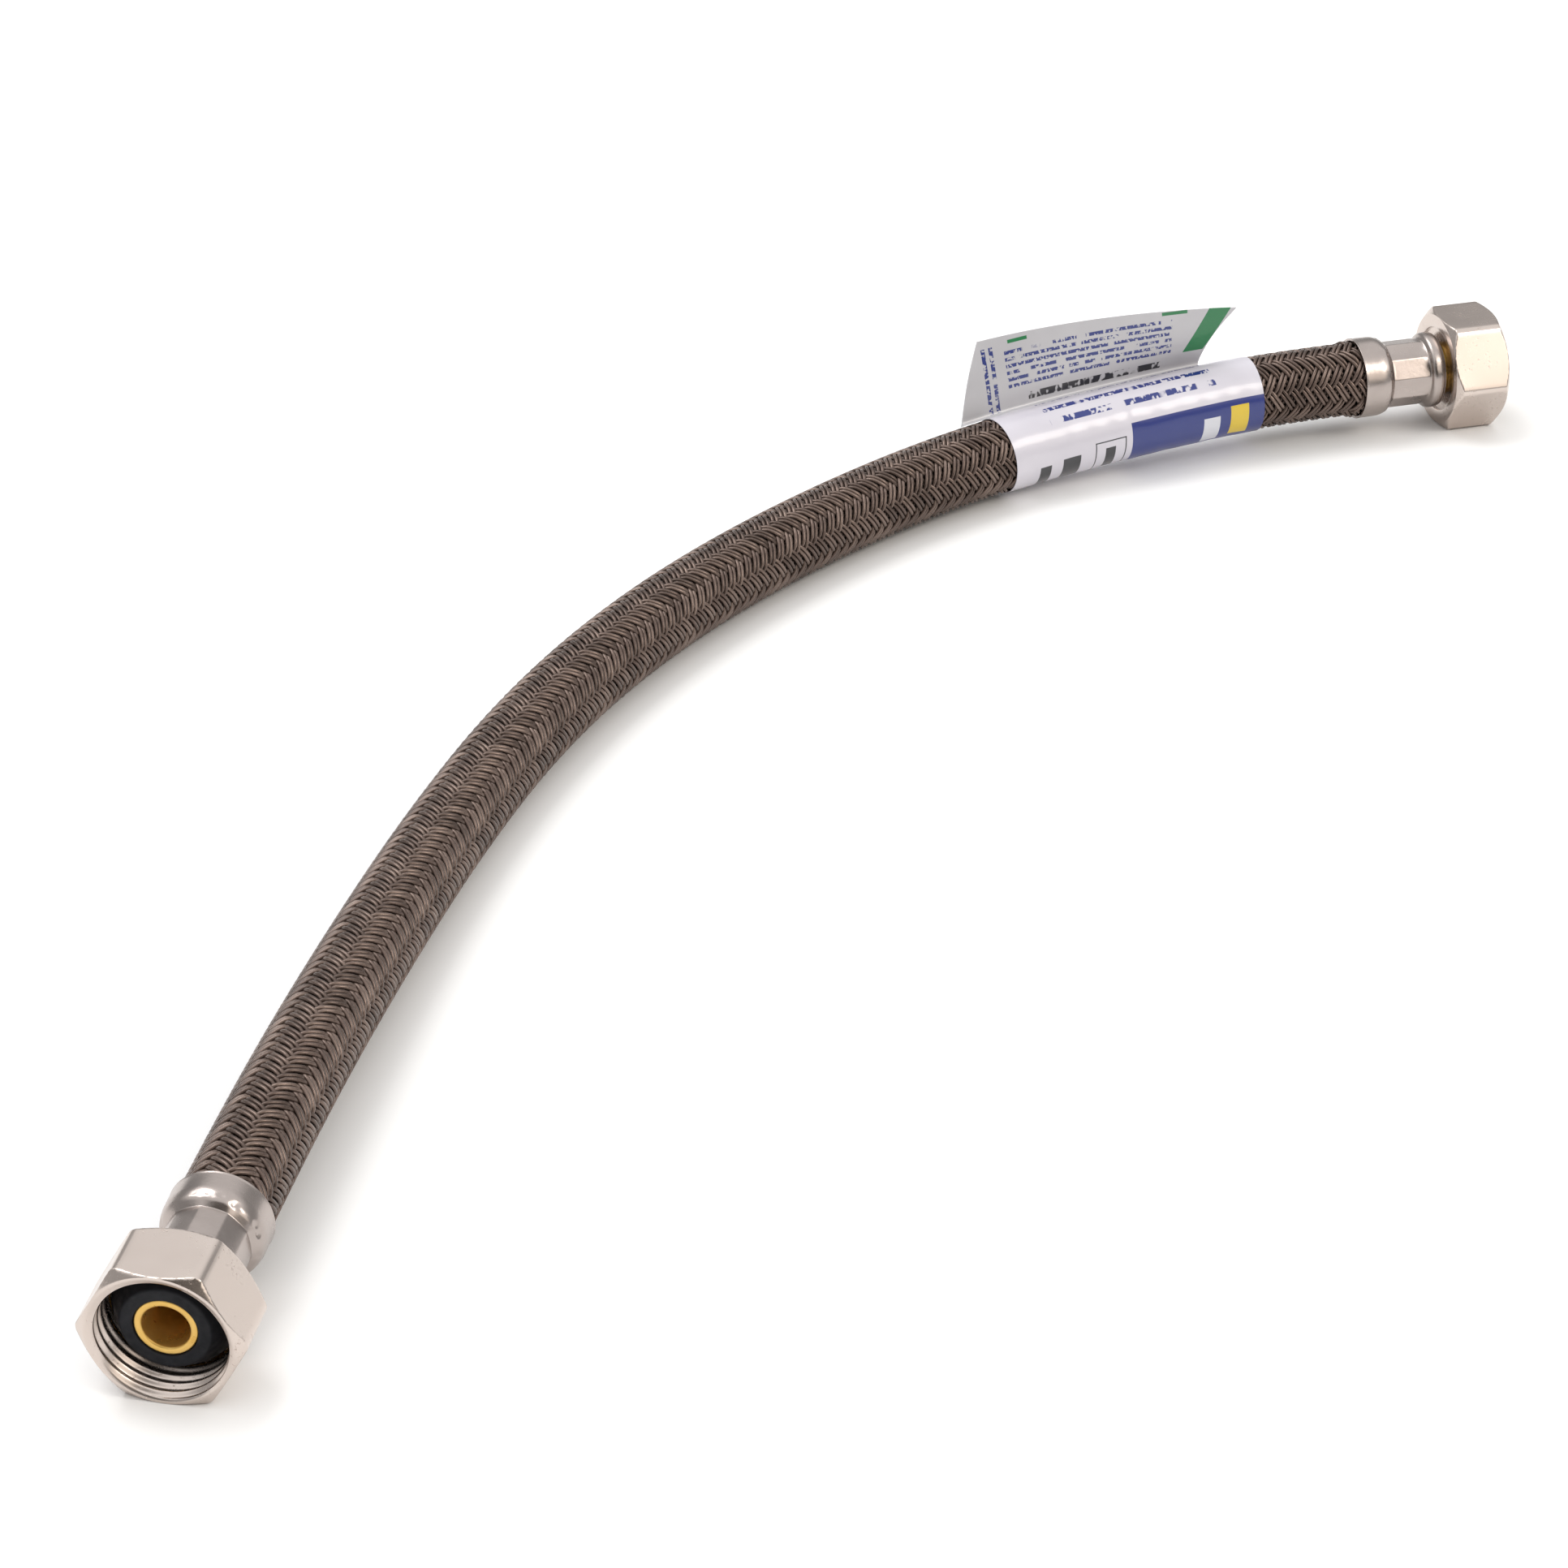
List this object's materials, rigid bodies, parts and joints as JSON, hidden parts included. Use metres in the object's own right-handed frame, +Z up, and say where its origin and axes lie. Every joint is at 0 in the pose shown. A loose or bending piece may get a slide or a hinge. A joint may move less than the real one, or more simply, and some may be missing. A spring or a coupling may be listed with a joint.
{
  "type": "braided supply line",
  "caption": "Flexible braided plumbing hose with a hexagonal swivel nut, rubber cone washer, insert and crimped ferrule at each end, and a plain film label.",
  "frame": {"origin": "centre of the inlet nut's mouth, on its thread axis", "axes": "+Y along the inlet end's axis into the hose, so the inlet mouth faces -Y; +Z up from the surface that both nuts rest on, which is 10.9 mm below the origin; the hose turns towards +X"},
  "size_m": [0.1814, 0.3585, 0.0296],
  "materials": {
    "inner_tube": "smooth flexible PVC",
    "braid": "satin taupe monofilament braid",
    "label": "glossy white film with a blue panel",
    "nut": "satin nickel plate",
    "washer": "matte black rubber",
    "insert": "turned brass",
    "ferrule": "crimped stainless steel"
  },
  "bodies": {
    "hose": {"inner_tube": "inner_tube", "braid_sleeve": "braid", "hose_label": "label", "inlet_cone_washer": "washer", "outlet_cone_washer": "washer", "inlet_insert": "insert", "outlet_insert": "insert", "inlet_ferrule": "ferrule", "outlet_ferrule": "ferrule"},
    "inlet_nut": {"inlet_swivel_nut": "nut"},
    "outlet_nut": {"outlet_swivel_nut": "nut"}
  },
  "joints": [
    {"name": "inlet_nut_swivel", "type": "hinge", "parent": "hose", "child": "inlet_nut", "pos_m": [0, 0, 0], "axis": [0, -1, 0], "continuous": true},
    {"name": "outlet_nut_swivel", "type": "hinge", "parent": "hose", "child": "outlet_nut", "pos_m": [0.16435, 0.3479, 0], "axis": [0.9003, 0.4352, 0], "continuous": true}
  ]
}
